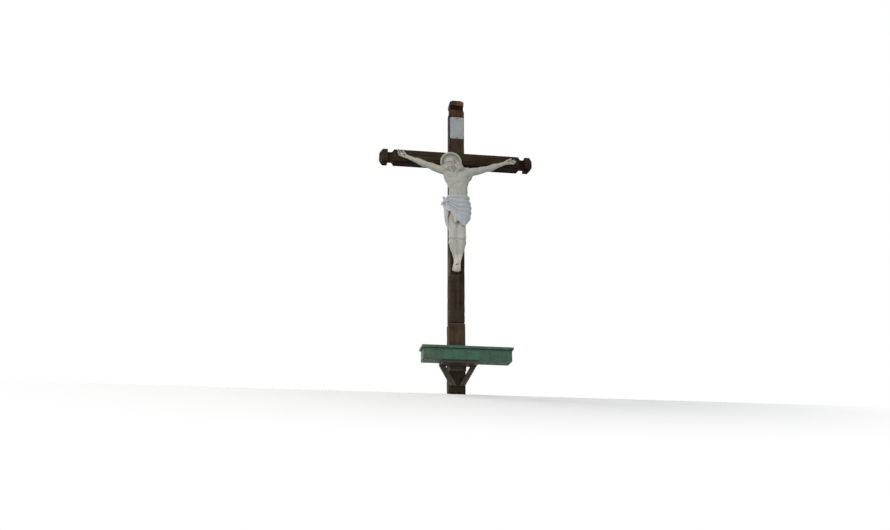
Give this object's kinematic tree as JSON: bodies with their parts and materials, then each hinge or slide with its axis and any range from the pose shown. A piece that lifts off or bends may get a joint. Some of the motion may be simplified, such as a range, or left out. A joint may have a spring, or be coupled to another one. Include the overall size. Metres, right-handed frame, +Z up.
{
  "type": "wayside shrine",
  "caption": "Tall timber wayside cross with carved ends, a painted cast corpus with a halo, a bare plate above it and a planter on a strutted shelf at its foot.",
  "frame": {"origin": "centre of the post foot's bottom face, at ground level", "axes": "+Z up along the post, +X along the crossbeam to the viewer's right, -Y towards the viewer"},
  "size_m": [1.68, 0.4, 3.3],
  "materials": {
    "post_paint": "dark brown paint on squared timber, worn and weathered, with lichen on the ends",
    "foot_paint": "brown paint with a green-grey film of algae",
    "joint_felt": "black sealing felt in the joint",
    "plate_enamel": "off-white enamel, slightly chalked",
    "casting_paint": "off-white paint on cast metal, with moss and rust stains",
    "forged_iron": "dark forged iron, lightly rusted",
    "planter_paint": "green paint on boards, faded and streaked",
    "shelf_paint": "dark brown paint on planed timber"
  },
  "bodies": {
    "root": {"post_foot": "foot_paint", "joint_pad": "joint_felt", "post": "post_paint", "crossbeam": "post_paint", "titulus_plate": "plate_enamel", "titulus_pins": "forged_iron", "corpus_halo": "casting_paint", "corpus_head": "casting_paint", "corpus_torso": "casting_paint", "corpus_left_arm": "casting_paint", "corpus_right_arm": "casting_paint", "corpus_loincloth": "casting_paint", "corpus_cloth_knot": "casting_paint", "corpus_left_leg": "casting_paint", "corpus_right_leg": "casting_paint", "nail_left_hand": "forged_iron", "nail_right_hand": "forged_iron", "nail_feet": "forged_iron", "planter_front": "planter_paint", "planter_back": "planter_paint", "planter_left_end": "planter_paint", "planter_right_end": "planter_paint", "planter_bottom": "planter_paint", "planter_rim_front": "planter_paint", "planter_rim_back": "planter_paint", "planter_rim_left": "planter_paint", "planter_rim_right": "planter_paint", "shelf_board": "shelf_paint", "shelf_cleat": "shelf_paint", "strut_left": "shelf_paint", "strut_right": "shelf_paint"}
  },
  "joints": []
}
